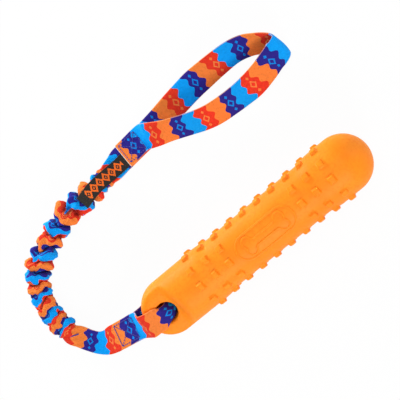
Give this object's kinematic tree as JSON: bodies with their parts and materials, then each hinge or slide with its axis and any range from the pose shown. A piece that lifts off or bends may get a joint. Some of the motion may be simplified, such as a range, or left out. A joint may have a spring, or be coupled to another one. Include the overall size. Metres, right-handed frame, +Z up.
{
  "type": "dog training dummy",
  "caption": "Studded floating rubber retrieve dummy on a gathered bungee tug strap of printed tubular webbing, with a hand loop and a woven label.",
  "frame": {"origin": "middle of the object's footprint on the surface it lies on", "axes": "+X along the rubber bar towards its domed end, +Y towards the hand loop's side, +Z up"},
  "size_m": [0.3396, 0.1842, 0.0551],
  "materials": {
    "rubber": "matt orange foam rubber",
    "webbing_orange": "printed polyester webbing",
    "webbing_red": "printed polyester webbing",
    "webbing_cyan": "printed polyester webbing",
    "webbing_navy": "printed polyester webbing",
    "elastic": "round elastic cord",
    "navy_thread": "sewing thread",
    "label_black": "woven damask label"
  },
  "bodies": {
    "dummy": {"dummy_body": "rubber"},
    "dummy_strap": {"dummy_loop": "webbing_orange", "lower_box_stitch": "navy_thread"},
    "bungee_base": {"lower_run": "webbing_red", "lower_core_tack": "navy_thread", "bungee_sleeve": "webbing_cyan", "elastic_core": "elastic"},
    "bungee_top": {"neck_webbing": "webbing_navy", "upper_core_tack": "navy_thread"},
    "handle": {"hand_loop": "webbing_orange", "handle_box_stitch": "navy_thread"},
    "label": {"woven_label": "label_black"}
  },
  "joints": [
    {"name": "strap_swing", "type": "hinge", "parent": "dummy", "child": "dummy_strap", "pos_m": [-0.07065, -0.06401, 0.02763], "axis": [0, 0.9135, 0.4067], "range_deg": [-80, 80], "deforming": ["dummy_loop"]},
    {"name": "strap_bend", "type": "hinge", "parent": "dummy_strap", "child": "bungee_base", "pos_m": [-0.13685, -0.04701, 0.01123], "axis": [0, 0, 1], "range_deg": [0, 100], "deforming": ["lower_run"]},
    {"name": "bungee_stretch", "type": "slide", "parent": "bungee_base", "child": "bungee_top", "axis": [0.7728, 0.6346, -0.0029], "range_m": [0, 0.09], "stiffness_N_per_m": 180, "deforming": ["bungee_sleeve", "elastic_core"]},
    {"name": "handle_flop", "type": "hinge", "parent": "bungee_top", "child": "handle", "pos_m": [-0.01545, 0.07309, 0.00123], "axis": [-0.0523, 0.9986, 0], "range_deg": [-80, 80], "deforming": ["neck_webbing", "woven_label"]},
    {"name": "label_flip", "type": "hinge", "parent": "bungee_top", "child": "label", "pos_m": [-0.01365, 0.07029, 0.00298], "axis": [-0.0523, 0.9986, 0], "range_deg": [0, 85]}
  ]
}
